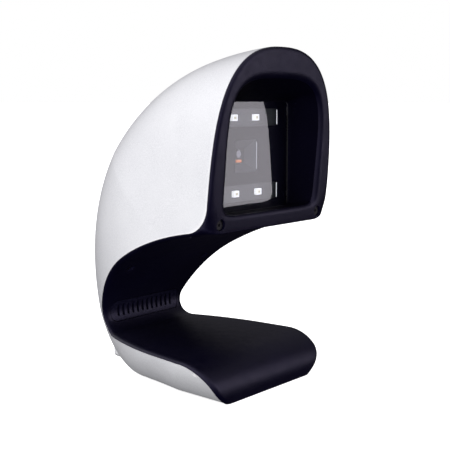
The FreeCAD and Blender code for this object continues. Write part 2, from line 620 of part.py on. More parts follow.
doc.recompute()
for obj in doc.Objects:
    if "Invalid" in obj.State or "Error" in obj.State:
        raise RuntimeError("%s did not build: %s" % (obj.Label, obj.State))
os.makedirs("parts", exist_ok=True)
for node in NODES:
    shape = node.Shape
    if shape.isNull() or not shape.isValid() or shape.Volume <= 0 or not shape.Solids:
        raise RuntimeError("%s has no valid solid" % node.Label)
    shape.exportStep(os.path.join("parts", node.Label + ".step"))
    print("%-18s %2d solids %10.1f mm3" % (node.Label, len(shape.Solids), shape.Volume))
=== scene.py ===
import json
import math

import bpy
import numpy as np
from mathutils import Matrix, Vector


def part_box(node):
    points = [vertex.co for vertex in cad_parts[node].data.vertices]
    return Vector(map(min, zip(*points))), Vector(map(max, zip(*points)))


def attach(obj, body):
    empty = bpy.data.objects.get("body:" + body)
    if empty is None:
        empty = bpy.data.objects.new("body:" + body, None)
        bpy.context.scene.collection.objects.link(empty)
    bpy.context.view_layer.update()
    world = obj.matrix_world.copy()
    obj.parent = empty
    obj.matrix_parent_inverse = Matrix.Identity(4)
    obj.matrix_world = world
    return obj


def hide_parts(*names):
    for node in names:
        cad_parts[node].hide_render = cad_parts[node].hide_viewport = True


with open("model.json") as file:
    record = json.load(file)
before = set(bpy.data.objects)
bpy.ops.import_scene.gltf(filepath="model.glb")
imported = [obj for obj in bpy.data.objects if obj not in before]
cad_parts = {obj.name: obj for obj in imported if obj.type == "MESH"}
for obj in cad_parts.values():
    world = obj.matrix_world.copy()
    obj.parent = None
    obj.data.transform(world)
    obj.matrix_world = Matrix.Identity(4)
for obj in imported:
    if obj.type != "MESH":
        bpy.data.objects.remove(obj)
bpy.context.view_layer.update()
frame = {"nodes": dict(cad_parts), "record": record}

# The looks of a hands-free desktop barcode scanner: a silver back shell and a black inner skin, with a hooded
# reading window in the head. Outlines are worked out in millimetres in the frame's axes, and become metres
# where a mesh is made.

MM = 0.001
ROOT = "root"

# ---------------------------------------------------------------- body surface

CENTRE_Y, CENTRE_Z = -46.3, 48.0                  # every side section is drawn round this centre
CROWN_Y, CROWN_Z, CROWN_RADIUS = -53.6, 45.3, 108.0
TAIL_RADIUS, KEEL_Z = 40.0, -5.2
HALF_WIDTH, SIDE_POWER = 42.4, 2.5
BOXY_POWER, TAIL_POWER, TAIL_ANGLE = 5.0, 2.2, -19.0
BOXY_ABOVE, BOXY_BELOW, BOXY_RATE = 59.0, 42.0, 1.6
BROW_LIFT, BROW_START, BROW_SPAN = 1.4, 79.0, 16.0  # the crown rises a little more towards the front
TINY = 1e-6                                       # keeps a divisor off nought
BASE_RIM = 1.2                                    # the silver shell ends this high above the table
FOOT_LIFT = 0.2                                   # the black skin ends this high above the table


def ray_to_circle(angle, y, z, radius):
    """Distance from the section centre, along angle, to the far side of a circle centred at y, z."""
    along = y * np.cos(angle) + z * np.sin(angle)
    return along + np.sqrt(np.maximum(along * along - y * y - z * z + radius * radius, 0))


def body_reach(angle):
    """Distance from the section centre to the outline in the middle plane: crown, tail and keel."""
    crown_y, crown_z, keel = CROWN_Y - CENTRE_Y, CROWN_Z - CENTRE_Z, KEEL_Z - CENTRE_Z
    tail_z = keel + TAIL_RADIUS
    gap = CROWN_RADIUS - TAIL_RADIUS
    tail_y = crown_y + math.sqrt(gap * gap - (tail_z - crown_z) ** 2)
    stretch = CROWN_RADIUS / gap
    crown_end = math.atan2(crown_z + (tail_z - crown_z) * stretch, crown_y + (tail_y - crown_y) * stretch)
    tail_end = math.atan2(keel, tail_y)
    brow = np.maximum(0, (np.degrees(angle) - BROW_START) / BROW_SPAN)
    crown = ray_to_circle(angle, crown_y, crown_z, CROWN_RADIUS) + BROW_LIFT * brow ** 2
    tail = ray_to_circle(angle, tail_y, tail_z, TAIL_RADIUS)
    floor = keel / np.minimum(np.sin(angle), -TINY)
    return np.where(angle > crown_end, crown, np.where(angle > tail_end, tail, floor))


def boxiness(angle):
    """How square the body is across: round at the tail, boxy over the head and at the foot."""
    turn = np.degrees(angle) - TAIL_ANGLE
    share = np.minimum(1.0, np.where(turn > 0, turn / BOXY_ABOVE, -turn / BOXY_BELOW))
    return TAIL_POWER + (BOXY_POWER - TAIL_POWER) * share ** BOXY_RATE


def half_width_at(points):
    """Half width of the body at points in the side view, each y, z."""
    y, z = points[..., 0] - CENTRE_Y, points[..., 1] - CENTRE_Z
    angle = np.arctan2(z, y)
    share = np.hypot(y, z) / body_reach(angle)
    return HALF_WIDTH * np.clip(1 - share ** boxiness(angle), 0, 1) ** (1 / SIDE_POWER)


# ---------------------------------------------------------------- mouth of the C, in the side view

BEZEL_LEAN = math.radians(5.05)
CHIN_Z = 75.5
CHIN_SLOPE = math.radians(5.0)
HEAD_ARC, HEAD_TURN = 140.0, 24.0
# After the head's arc, the mouth's outline has these arcs, each a radius and a turn in degrees to the left.
# The straight top of the foot has a length and no radius.
MOUTH_ARCS = [(65.0, -34.0), (8.5, -117.0), (None, 54.7), (26.5, 36.5), (11.4, 58.7)]
RIM = 1.45                                        # the black rim is this deep, from the mouth to the seam
SEAM = 0.2                                        # gap between the black rim and the silver shell
CHIN_ROUND = 13.0                                 # radius of the seam's turn at the chin
CHIN_SOFT = 2.2                                   # how crisp the chin's edge is: larger is crisper
STEP = 1.1                                        # distance between stations
TURN_STEP, CHIN_STEP = math.radians(4.0), math.radians(3.0)


def left(heading):
    """Unit vector to the left of a heading, which is into the body."""
    return np.stack([-np.sin(heading), np.cos(heading)], -1)


def ahead(heading):
    """Unit vector along a heading."""
    return np.stack([np.cos(heading), np.sin(heading)], -1)


FACE_HEADING = BEZEL_LEAN - math.pi / 2           # down the bezel
INTO_FACE = left(FACE_HEADING)
UP_FACE = -ahead(FACE_HEADING)
CHIN = np.array([CENTRE_Y - (CHIN_Z - CENTRE_Z) * math.tan(BEZEL_LEAN), CHIN_Z])
HEAD_CENTRE = CHIN - left(-CHIN_SLOPE) * HEAD_ARC

# The seam's turn at the chin touches the bezel's line and the head's arc, both moved in by the rim.
CORNER = CHIN_ROUND + RIM
FROM_HEAD = CHIN + INTO_FACE * CORNER - HEAD_CENTRE
LEVEL = -FROM_HEAD @ UP_FACE
CHIN_LIFT = LEVEL + math.sqrt(LEVEL * LEVEL - FROM_HEAD @ FROM_HEAD + (HEAD_ARC + CORNER) ** 2)
CHIN_CENTRE = CHIN + INTO_FACE * CORNER + UP_FACE * CHIN_LIFT
TO_CHIN = CHIN_CENTRE - HEAD_CENTRE
CHIN_END = math.atan2(-TO_CHIN[0], TO_CHIN[1])    # heading where the chin's turn ends
CHIN_MIDDLE = (FACE_HEADING + CHIN_END) / 2


def chin_face(heading):
    """The mouth's surface at the chin, from the centre of the seam's turn: two faces and a soft edge."""
    inward = left(heading)
    to_bezel = CORNER / np.cos(heading - FACE_HEADING)
    along = inward @ TO_CHIN
    room = along * along - (HEAD_ARC + CORNER) ** 2 + HEAD_ARC ** 2
    to_head = np.where(room > 0, along - np.sqrt(np.maximum(room, 0)), HEAD_ARC)
    reach = -np.log(np.exp(-CHIN_SOFT * to_bezel) + np.exp(-CHIN_SOFT * to_head)) / CHIN_SOFT
    return CHIN_CENTRE - inward * reach[..., None]


def steps(start, end, size):
    """Evenly spaced numbers from start to end, no further apart than size."""
    return np.linspace(start, end, max(2, 1 + math.ceil(abs(end - start) / size)))


def lengths_along(points):
    """Distance along a line of points, from the first one."""
    return np.concatenate([[0], np.cumsum(np.linalg.norm(np.diff(points, axis=0), axis=1))])


def chin_stations(start, end):
    """Mouth and seam points round the chin, between two headings."""
    headings = steps(start, end, CHIN_STEP)
    inward = left(headings)
    return chin_face(headings), CHIN_CENTRE - inward * CHIN_ROUND


def after_chin(bottom):
    """Mouth and seam points from the end of the chin's turn, over the foot and down to the height bottom."""
    headings = steps(CHIN_END, -CHIN_SLOPE - math.radians(HEAD_TURN), STEP / HEAD_ARC)
    mouth = HEAD_CENTRE + left(headings) * HEAD_ARC
    seam = HEAD_CENTRE + left(headings) * (HEAD_ARC + RIM)
    heading, point = headings[-1], mouth[-1]
    for radius, amount in MOUTH_ARCS:
        if radius is None:
            runs = steps(0, amount, STEP)[1:]
            line = point + runs[:, None] * ahead(heading)
            edge = line + left(heading) * RIM
        else:
            turn = math.radians(amount)
            headings = heading + steps(0, turn, min(TURN_STEP, STEP / radius))[1:]
            side = math.copysign(1, turn)
            centre = point + left(heading) * radius * side
            line = centre - left(headings) * radius * side
            edge = centre - left(headings) * (radius * side - RIM)
            heading = headings[-1]
        point = line[-1]
        mouth, seam = np.concatenate([mouth, line]), np.concatenate([seam, edge])
    runs = steps(0, (point[1] - bottom) / -math.sin(heading), STEP)[1:]
    line = point + runs[:, None] * ahead(heading)
    return np.concatenate([mouth, line]), np.concatenate([seam, line + left(heading) * RIM])


# ---------------------------------------------------------------- mesh helpers

MERGE = 0.002                                     # points closer than this are joined where two grids meet
LATHE_SIDES = 48
SLAB_BEVEL, BEVEL_STEPS = 0.05, 3
SKIN_CREASE, NODE_CREASE = 35.0, 30.0             # edges sharper than this stay crisp, in degrees

def mesh_object(name, vertices, faces, merge=False):
    """An object from points in millimetres. With merge, the points closer than MERGE are joined."""
    mesh = bpy.data.meshes.new(name)
    mesh.from_pydata((np.asarray(vertices) * MM).tolist(), [], faces)
    mesh.update()
    obj = bpy.data.objects.new(name, mesh)
    bpy.context.scene.collection.objects.link(obj)
    if merge:
        weld = obj.modifiers.new("weld", "WELD")
        weld.merge_threshold = MERGE * MM
        bake_modifiers(obj)
    return obj


def bake_modifiers(obj):
    """Replaces the object's mesh with what its modifiers make of it."""
    evaluated = obj.evaluated_get(bpy.context.evaluated_depsgraph_get())
    mesh = bpy.data.meshes.new_from_object(evaluated)
    obj.modifiers.clear()
    obj.data = mesh
    return obj


def grid_faces(rows, columns, start=0, flip=False, wrap=False):
    """Quads over a grid of points that are stored row by row."""
    faces = []
    for row in range(rows - 1):
        for column in range(columns if wrap else columns - 1):
            across = (column + 1) % columns
            a, b = start + row * columns + column, start + row * columns + across
            c, d = b + columns, a + columns
            faces.append((a, d, c, b) if flip else (a, b, c, d))
    return faces


def thicken(obj, wall):
    """Gives a skin its wall, inwards from the face that shows."""
    solid = obj.modifiers.new("wall", "SOLIDIFY")
    solid.thickness = wall * MM
    solid.offset = -1
    solid.use_even_offset = False
    return bake_modifiers(obj)


def smooth(obj, angle=SKIN_CREASE):
    """Smooth shading, with edges sharper than angle, in degrees, kept crisp."""
    mesh = obj.data
    mesh.polygons.foreach_set("use_smooth", np.ones(len(mesh.polygons), bool))
    mesh.set_sharp_from_angle(angle=math.radians(angle))
    return obj


def cut_away(obj, cutters):
    """Cuts the cutters out of obj and removes them."""
    for cutter in cutters:
        boolean = obj.modifiers.new("cut", "BOOLEAN")
        boolean.operation = "DIFFERENCE"
        boolean.object = cutter
        boolean.solver = "EXACT"
    bake_modifiers(obj)
    for cutter in cutters:
        bpy.data.objects.remove(cutter)
    return obj


def lathe(name, profile, centre, axis):
    """A turned solid: profile is radius, distance along axis, from one end's middle to the other's."""
    turns = np.linspace(0, 2 * math.pi, LATHE_SIDES, endpoint=False)
    to_axis = np.array(Vector(axis).normalized().to_track_quat("Z", "Y").to_matrix())
    points = [[r * math.cos(t), r * math.sin(t), h] for r, h in profile for t in turns]
    points = np.array(points) @ to_axis.T + np.array(centre)
    return mesh_object(name, points, grid_faces(len(profile), LATHE_SIDES, wrap=True), merge=True)


def slab_piece(name, low, high):
    """A block with rounded edges between two corners in millimetres."""
    (x0, y0, z0), (x1, y1, z1) = low, high
    points = [(x, y, z) for z in (z0, z1) for y in (y0, y1) for x in (x0, x1)]
    faces = [(0, 2, 3, 1), (4, 5, 7, 6), (0, 1, 5, 4), (2, 6, 7, 3), (0, 4, 6, 2), (1, 3, 7, 5)]
    obj = mesh_object(name, points, faces)
    edge = obj.modifiers.new("edge", "BEVEL")
    edge.width = SLAB_BEVEL * MM
    edge.segments = BEVEL_STEPS
    bake_modifiers(obj)
    return smooth(obj)


# ---------------------------------------------------------------- black rim

ROUND_STEPS = 10
SIDE_ROUND, UNDER_ROUND, FOOT_ROUND, CHIN_CORNER_ROUND = 2.2, 4.6, 2.8, 10.0
CHIN_REACH = 8.0                                  # how far along the seam the chin's wide rounding spreads
HEEL_START, HEEL_END = 75.0, 110.0                # along the seam past the chin, where the rounding narrows


def round_width(distance):
    """How far the rim's rounding reaches across, by the distance along the seam past the chin's middle."""
    blend = 0.5 + 0.5 * np.tanh(distance / CHIN_REACH)
    under = np.interp(distance, [HEEL_START, HEEL_END], [UNDER_ROUND, FOOT_ROUND])
    plain = SIDE_ROUND + (under - SIDE_ROUND) * blend
    return plain + (CHIN_CORNER_ROUND - plain) * np.exp(-(distance / CHIN_REACH) ** 2)


def to_3d(x, side_points):
    """3-D points from how far across they are and their places in the side view."""
    across = np.broadcast_to(np.asarray(x)[..., None], side_points.shape[:-1] + (1,))
    return np.concatenate([across, side_points], -1)


# ---------------------------------------------------------------- front cover

COVER_WALL = 1.25
FLAT_STEPS = 18


def front_cover():
    """The black skin from the chin to the toe, a strip right across with a rounded rim at both sides."""
    chin_mouth, chin_seam = chin_stations(CHIN_MIDDLE, CHIN_END)
    mouth, seam = after_chin(FOOT_LIFT)
    mouth, seam = np.concatenate([chin_mouth, mouth[1:]]), np.concatenate([chin_seam, seam[1:]])
    wide = half_width_at(seam)
    reach = round_width(lengths_along(seam))
    columns = []
    for turn in np.linspace(0, math.pi / 2, ROUND_STEPS):
        deep = 1 - math.sin(turn)
        columns.append(to_3d(-(wide - reach + reach * math.cos(turn)), mouth + (seam - mouth) * deep))
    for share in np.linspace(-1, 0, FLAT_STEPS)[1:]:
        columns.append(to_3d((wide - reach) * share, mouth))
    columns += [column * np.array([-1, 1, 1]) for column in reversed(columns[:-1])]
    points = np.stack(columns, 1)
    rows, count = points.shape[:2]
    obj = mesh_object("front_skin", points.reshape(-1, 3), grid_faces(rows, count, flip=True))
    return thicken(obj, COVER_WALL)


# ---------------------------------------------------------------- bezel and hood

HOOD_HALF, HOOD_BOTTOM, HOOD_TOP = 33.0, 82.8, 142.4
HOOD_TOP_POWER, HOOD_CORNER_POWER, WINDOW_POWER = 3.4, 11.0, 24.0
HOOD_BACK = -36.4
WINDOW_HALF, WINDOW_BOTTOM, WINDOW_TOP = 27.5, 82.0, 131.0
MIDDLE_SHARE = 0.4                                # the widest place, as a share of the opening's height
LIP_ROUND = 2.2
BEZEL_WALL = 1.25
HOOD_SHADE_START = 2.2                                  # the hood's second material, matt and darker in tone as painted shade, starts this far behind the bezel
FACE_STEPS, LIP_STEPS, WALL_STEPS = 8, 8, 10
OUTLINE_STEP, BOTTOM_STEP = math.radians(1.5), 1.5
REACH_LIMIT, HALVINGS = 90.0, 50                  # the head's outline is found by halving this distance
MIDDLE_UP = (HOOD_BOTTOM + MIDDLE_SHARE * (HOOD_TOP - HOOD_BOTTOM) - CHIN_Z) / math.cos(BEZEL_LEAN)


def opening(angle, half, below, above, top_power, corner_power):
    """Point at a polar angle, across and up, on an outline of two half superellipses."""
    power = np.where(np.sin(angle) > 0, top_power, corner_power)
    height = np.where(np.sin(angle) > 0, above, below)
    total = np.abs(np.cos(angle) / half) ** power + np.abs(np.sin(angle) / height) ** power
    reach = total ** (-1 / power)
    return np.stack([reach * np.cos(angle), reach * np.sin(angle)], -1)


def on_face(across_up, deep=0.0):
    """3-D point on the bezel plane, or deep millimetres behind it, from across and up-from-the-chin."""
    across, up = across_up[..., 0], across_up[..., 1]
    side = CHIN + up[..., None] * UP_FACE + np.asarray(deep)[..., None] * INTO_FACE
    return to_3d(across, side)


def head_outline(angle, deep):
    """Where a ray in the head's face, from the hood's middle, meets the body: across, up."""
    low, high = np.zeros_like(angle), np.full_like(angle, REACH_LIMIT)
    for _ in range(HALVINGS):
        reach = (low + high) / 2
        across, up = reach * np.cos(angle), MIDDLE_UP + reach * np.sin(angle)
        inside = across < half_width_at(CHIN + up[:, None] * UP_FACE + deep * INTO_FACE)
        low, high = np.where(inside, reach, low), np.where(inside, high, reach)
    return np.stack([low * np.cos(angle), MIDDLE_UP + low * np.sin(angle)], -1)


def outward(outline):
    """Unit normals of an open outline that runs anticlockwise."""
    run = np.gradient(outline, axis=0)
    normal = np.stack([run[:, 1], -run[:, 0]], -1)
    normal[-1] = [0, 1]
    return normal / np.linalg.norm(normal, axis=1)[:, None]


def bezel_rim():
    """Right half of the bezel's rounded rim: where it meets the face, and its half axes out and back."""
    chin_mouth, chin_seam = chin_stations(FACE_HEADING, CHIN_MIDDLE)
    ups = steps(CHIN_LIFT, MIDDLE_UP, STEP)[1:]
    side_mouth = CHIN + ups[:, None] * UP_FACE
    mouth = np.concatenate([chin_mouth[::-1], side_mouth])
    seam = np.concatenate([chin_seam[::-1], side_mouth + RIM * INTO_FACE])
    wide = half_width_at(seam)
    reach = round_width(-lengths_along(seam))
    sides = to_3d(wide - reach, mouth)
    side_out = to_3d(reach, np.zeros_like(mouth))
    side_deep = to_3d(0 * reach, seam - mouth)
    angles = steps(0, math.pi / 2, OUTLINE_STEP)
    outline = head_outline(angles, RIM)
    normal = outward(outline)
    top_out = np.concatenate([normal[:, :1], normal[:, 1:] * UP_FACE], 1) * SIDE_ROUND
    top_deep = to_3d(np.zeros(len(angles)), np.tile(RIM * INTO_FACE, (len(angles), 1)))
    top = on_face(outline) - top_out
    return (np.concatenate([sides, top[1:]]), np.concatenate([side_out, top_out[1:]]),
            np.concatenate([side_deep, top_deep[1:]]))


def mirrored(points):
    """Points of the right half, bottom to top, followed by the left half, top to bottom."""
    return np.concatenate([points, points[-2::-1] * np.array([-1, 1, 1])])


def bezel_hood():
    """The head's black face: rounded rim, flat bezel, soft lip and the hood's walls back to the window."""
    meet, out, deep = bezel_rim()
    turns = np.linspace(0, math.pi / 2, ROUND_STEPS)
    rim = np.stack([mirrored(meet + out * math.cos(t) + deep * (1 - math.sin(t))) for t in turns], 0)
    half_bottom = meet[0, 0]
    across = steps(-half_bottom, half_bottom, BOTTOM_STEP)[1:-1]
    bottom = np.tile(meet[0], (len(across), 1))
    bottom[:, 0] = across
    loop = np.concatenate([mirrored(meet), bottom])
    loop_up = (loop[:, 1:] - CHIN) @ UP_FACE
    chin_mouth, _ = chin_stations(CHIN_MIDDLE, FACE_HEADING)
    edge_up, edge_deep = (chin_mouth - CHIN) @ UP_FACE, (chin_mouth - CHIN) @ INTO_FACE
    angle = np.arctan2(loop_up - MIDDLE_UP, loop[:, 0])
    lower = MIDDLE_SHARE * (HOOD_TOP - HOOD_BOTTOM)
    upper = (1 - MIDDLE_SHARE) * (HOOD_TOP - HOOD_BOTTOM)
    middle = np.array([0, MIDDLE_UP])
    powers = HOOD_TOP_POWER, HOOD_CORNER_POWER
    lip = middle + opening(angle, HOOD_HALF + LIP_ROUND, lower + LIP_ROUND, upper + LIP_ROUND, *powers)
    edge = on_face(middle + opening(angle, HOOD_HALF, lower, upper, *powers))
    below, above = (share * (WINDOW_TOP - WINDOW_BOTTOM) for share in (MIDDLE_SHARE, 1 - MIDDLE_SHARE))
    pane = opening(angle, WINDOW_HALF, below, above, WINDOW_POWER, WINDOW_POWER)
    window = np.stack([pane[:, 0], np.full(len(angle), HOOD_BACK), WINDOW_BOTTOM + below + pane[:, 1]], -1)
    rows = []
    outer = np.stack([loop[:, 0], loop_up], -1)
    for share in np.linspace(0, 1, FACE_STEPS):
        flat = outer * (1 - share) + lip * share
        rows.append(on_face(flat, np.interp(flat[:, 1], edge_up, edge_deep)))
    rows[0] = loop
    inward = (window - edge) / np.linalg.norm(window - edge, axis=1)[:, None]
    lip_end = edge + inward * LIP_ROUND
    lip_start = on_face(lip)
    for share in np.linspace(0, 1, LIP_STEPS)[1:]:
        rows.append(lip_start * (1 - share) ** 2 + edge * 2 * share * (1 - share) + lip_end * share ** 2)
    for share in np.linspace(0, 1, WALL_STEPS)[1:]:
        rows.append(lip_end * (1 - share) + window * share)
    points = np.concatenate([rim.reshape(-1, 3), *rows])
    faces = grid_faces(*rim.shape[:2])
    faces += grid_faces(len(rows), len(loop), start=rim.shape[0] * rim.shape[1], wrap=True)
    return thicken(mesh_object("bezel_skin", points, faces, merge=True), BEZEL_WALL)


def shade_hood_walls(obj):
    """Gives the hood's walls, which start behind the lip, the second of the piece's two materials: a matt
    black whose darker tone paints shade into the hood.
    """
    for face in obj.data.polygons:
        centre = np.array(face.center) / MM
        behind = (centre[1:] - CHIN) @ INTO_FACE
        face.material_index = int(behind > HOOD_SHADE_START and abs(centre[0]) < HOOD_HALF + BEZEL_WALL)


# ---------------------------------------------------------------- silver shell

SHELL_WALL = 2.2
ACROSS_STEPS = 60
DENSE, CROWDING = 500, 2.5                        # points of a row as it is traced, denser towards its end
SHELL_STEP = math.radians(1.25)
OUTLINE_START, OUTLINE_END, OUTLINE_POINTS = math.radians(100), math.radians(-60), 4000
TAIL_SPREAD = 12.0                                # rows from this much of the foot reach the back of the base
OUTLET_HALF, OUTLET_BACK, OUTLET_TOP = 12.0, 45.3, 13.8
HOLE_HALF, HOLE_TOP, HOLE_FRONT = OUTLET_HALF - 1, OUTLET_TOP - 2.5, 30.0


def middle_outline():
    """The body's outline in the middle plane, from the top of the bezel down the back to the base rim."""
    angles = np.linspace(OUTLINE_START, OUTLINE_END, OUTLINE_POINTS)
    points = np.array([CENTRE_Y, CENTRE_Z]) + body_reach(angles)[:, None] * ahead(angles)
    behind = (points - CHIN) @ INTO_FACE > RIM + SEAM
    points = points[behind & (points[:, 1] > BASE_RIM)]
    lengths = lengths_along(points)
    return points, lengths / lengths[-1]


def shell_half():
    """Points of the shell's right half: a row for each station of the seam, from the seam to the back."""
    gap = RIM + SEAM
    angles = steps(math.pi / 2, 0, SHELL_STEP)
    top = head_outline(angles, gap)
    ups = steps(MIDDLE_UP, CHIN_LIFT, STEP)[1:]
    head = CHIN + np.concatenate([top[:, 1], ups])[:, None] * UP_FACE + gap * INTO_FACE
    headings = steps(FACE_HEADING, CHIN_END, CHIN_STEP)[1:]
    turn = CHIN_CENTRE - left(headings) * (CHIN_ROUND - SEAM)
    mouth, seam = after_chin(BASE_RIM)
    rest = (seam + (seam - mouth) * SEAM / RIM)[1:]
    starts = np.concatenate([head, turn, rest])
    along = lengths_along(starts)
    heel = int(np.argmax(starts[:, 0]))
    tail = heel + int(np.argmax(starts[heel:, 0] < starts[heel, 0] - TAIL_SPREAD))
    outline, share = middle_outline()
    heel_share = np.interp(-starts[heel, 1], -outline[:, 1], share)
    back_share = np.interp(along[:tail + 1], [0, along[heel], along[tail]], [0, heel_share, 1])
    targets = np.stack([np.interp(back_share, share, outline[:, k]) for k in (0, 1)], -1)
    foot_share = (along[tail + 1:] - along[tail]) / (along[-1] - along[tail])
    base = np.stack([outline[-1, 0] + (starts[-1, 0] - outline[-1, 0]) * foot_share,
                     np.full(len(foot_share), BASE_RIM)], -1)
    targets = np.concatenate([targets, base])
    fine = 1 - (1 - np.linspace(0, 1, DENSE)) ** CROWDING
    rows = []
    for start, target in zip(starts, targets):
        line = start + fine[:, None] * (target - start)
        curve = to_3d(half_width_at(line), line)
        lengths = lengths_along(curve)
        places = np.linspace(0, lengths[-1], ACROSS_STEPS)
        rows.append(np.stack([np.interp(places, lengths, curve[:, k]) for k in range(3)], -1))
    rows = np.array(rows)
    rows[:tail + 1, -1, 0] = 0.0
    rows[0, :, 0] = 0.0
    return rows


def outer_shell():
    """The silver shell, both halves, with a hole where the outlet boss stands."""
    rows = shell_half()
    count, across = rows.shape[:2]
    near = rows * np.array([-1, 1, 1])
    points = np.concatenate([rows.reshape(-1, 3), near.reshape(-1, 3)])
    faces = grid_faces(count, across, flip=True) + grid_faces(count, across, start=count * across)

    def behind_outlet(face):
        """Whether a face lies in the hole."""
        centre = points[list(face)].mean(0)
        return abs(centre[0]) < HOLE_HALF and centre[2] < HOLE_TOP and centre[1] > HOLE_FRONT

    faces = [face for face in faces if not behind_outlet(face)]
    return thicken(mesh_object("back_shell", points, faces, merge=True), SHELL_WALL)


# ---------------------------------------------------------------- materials

PLATE_FRONT, FUNNEL_Z = -33.9, 106.5
FUNNEL_LIGHT_START, FUNNEL_LIGHT_FULL = PLATE_FRONT + 0.05, PLATE_FRONT + 0.25  # painted light on the funnel's walls fades in between these
FUNNEL_LIGHT_HALF, FUNNEL_LIGHT_FADE = 8.0, 0.5                   # how far above and below its middle the funnel's walls carry painted light
LOW_STOP, HIGH_STOP = 0.3, 0.7                    # most of a noise lies between these


class Look:
    """A Principled material with procedural nodes, in metres of the object's own space."""

    def __init__(self, name, **settings):
        self.material = bpy.data.materials.new(name)
        self.material.use_nodes = True
        self.tree = self.material.node_tree
        self.shader = self.tree.nodes["Principled BSDF"]
        for key, value in settings.items():
            self.shader.inputs[key.replace("_", " ")].default_value = value
        self.place = self.tree.nodes.new("ShaderNodeTexCoord").outputs["Object"]

    def link(self, source, node, socket):
        """Joins an output to a node's input, given by its name or number."""
        self.tree.links.new(source, node.inputs[socket])

    def noise(self, scale, detail=3.0, roughness=0.5, stretch=None):
        """A cloudy value from 0 to 1, stretched along the axes if asked for."""
        node = self.tree.nodes.new("ShaderNodeTexNoise")
        node.inputs["Scale"].default_value = scale
        node.inputs["Detail"].default_value = detail
        node.inputs["Roughness"].default_value = roughness
        place = self.place
        if stretch:
            mapping = self.tree.nodes.new("ShaderNodeMapping")
            mapping.inputs["Scale"].default_value = stretch
            self.link(self.place, mapping, "Vector")
            place = mapping.outputs["Vector"]
        self.link(place, node, "Vector")
        return node.outputs["Fac"]

    def cells(self, scale):
        """A pebbled value: the distance from the middle of the nearest cell."""
        node = self.tree.nodes.new("ShaderNodeTexVoronoi")
        node.inputs["Scale"].default_value = scale
        self.link(self.place, node, "Vector")
        return node.outputs["Distance"]

    def ramp(self, source, stops):
        """Maps a value to colours: stops is a list of position, colour."""
        node = self.tree.nodes.new("ShaderNodeValToRGB")
        while len(node.color_ramp.elements) < len(stops):
            node.color_ramp.elements.new(0.5)
        for element, (position, colour) in zip(node.color_ramp.elements, stops):
            element.position = position
            element.color = (*colour, 1.0)
        self.link(source, node, "Fac")
        return node.outputs["Color"]

    def spread(self, source, low, high, start=LOW_STOP, end=HIGH_STOP):
        """Maps a value between start and end to the range low to high."""
        node = self.tree.nodes.new("ShaderNodeMapRange")
        for socket, value in (("From Min", start), ("From Max", end), ("To Min", low), ("To Max", high)):
            node.inputs[socket].default_value = value
        self.link(source, node, "Value")
        return node.outputs["Result"]

    def mix(self, factor, first, second):
        """Mixes two colour outputs."""
        node = self.tree.nodes.new("ShaderNodeMix")
        node.data_type = "RGBA"
        self.link(factor, node, "Factor")
        self.link(first, node, "A")
        self.link(second, node, "B")
        return node.outputs["Result"]

    def times(self, first, second):
        """Multiplies two value outputs."""
        node = self.tree.nodes.new("ShaderNodeMath")
        node.operation = "MULTIPLY"
        self.link(first, node, 0)
        self.link(second, node, 1)
        return node.outputs["Value"]

    def edges(self, start, end):
        """How exposed an edge is, from 0 to 1."""
        geometry = self.tree.nodes.new("ShaderNodeNewGeometry")
        return self.spread(geometry.outputs["Pointiness"], 0.0, 1.0, start, end)

    def colour(self, source):
        """Sets the base colour."""
        self.link(source, self.shader, "Base Color")

    def roughness(self, source):
        """Sets the roughness."""
        self.link(source, self.shader, "Roughness")

    def bump(self, source, height):
        """Raises the surface by source times height millimetres, on top of any bump set before."""
        node = self.tree.nodes.new("ShaderNodeBump")
        node.inputs["Distance"].default_value = height * MM
        self.link(source, node, "Height")
        if self.shader.inputs["Normal"].is_linked:
            self.link(self.shader.inputs["Normal"].links[0].from_socket, node, "Normal")
        self.link(node.outputs["Normal"], self.shader, "Normal")


def between(dark, light):
    """Two ramp stops, over most of a noise."""
    return [(LOW_STOP, dark), (HIGH_STOP, light)]


def scaled(tone, share):
    """A tone made darker or lighter."""
    return tuple(min(1, c * share) for c in tone)


def silver_paint():
    """Paint with fine metal flakes, faint clouds and slightly lighter worn edges."""
    look = Look("silver_paint", Metallic=0.55, IOR=1.5, Coat_Weight=0.12, Coat_Roughness=0.35)
    flake_tones = [(0.32, (0.44, 0.445, 0.465)), (0.68, (0.76, 0.765, 0.785))]
    cloud_tones = between((0.57, 0.575, 0.595), (0.67, 0.675, 0.69))
    worn_tones = [(0.35, (0.70, 0.70, 0.71)), (0.65, (0.80, 0.80, 0.81))]
    flakes = look.ramp(look.noise(2600, 3, 0.8), flake_tones)
    clouds = look.ramp(look.noise(22, 3), cloud_tones)
    worn = look.ramp(look.noise(700, 4), worn_tones)
    base = look.mix(look.spread(look.noise(90, 2), 0.35, 0.65), flakes, clouds)
    look.colour(look.mix(look.edges(0.53, 0.60), base, worn))
    look.roughness(look.spread(look.noise(420, 4), 0.36, 0.44))
    look.bump(look.noise(3600, 2, 0.6), 0.006)
    look.bump(look.noise(260, 2), 0.010)
    return look.material


def moulded_black(name, tone, shine, grain=1500, depth=0.03, ior=1.4):
    """Fine-grained moulded plastic: tone is its colour, shine its lowest and highest roughness."""
    look = Look(name, IOR=ior, Specular_Tint=(0.72, 0.66, 1.0, 1.0))
    light = scaled(tone, 1.18)
    worn = tuple(2.2 * c + 0.004 for c in tone)
    base = look.ramp(look.noise(60, 4), between(scaled(tone, 0.82), light))
    rubbed = look.ramp(look.noise(900, 3), [(0.35, light), (0.65, worn)])
    look.colour(look.mix(look.edges(0.52, 0.62), base, rubbed))
    look.roughness(look.spread(look.noise(240, 4), *shine))
    look.bump(look.cells(grain), depth)
    look.bump(look.noise(grain * 2.5, 2), depth * 0.4)
    return look.material


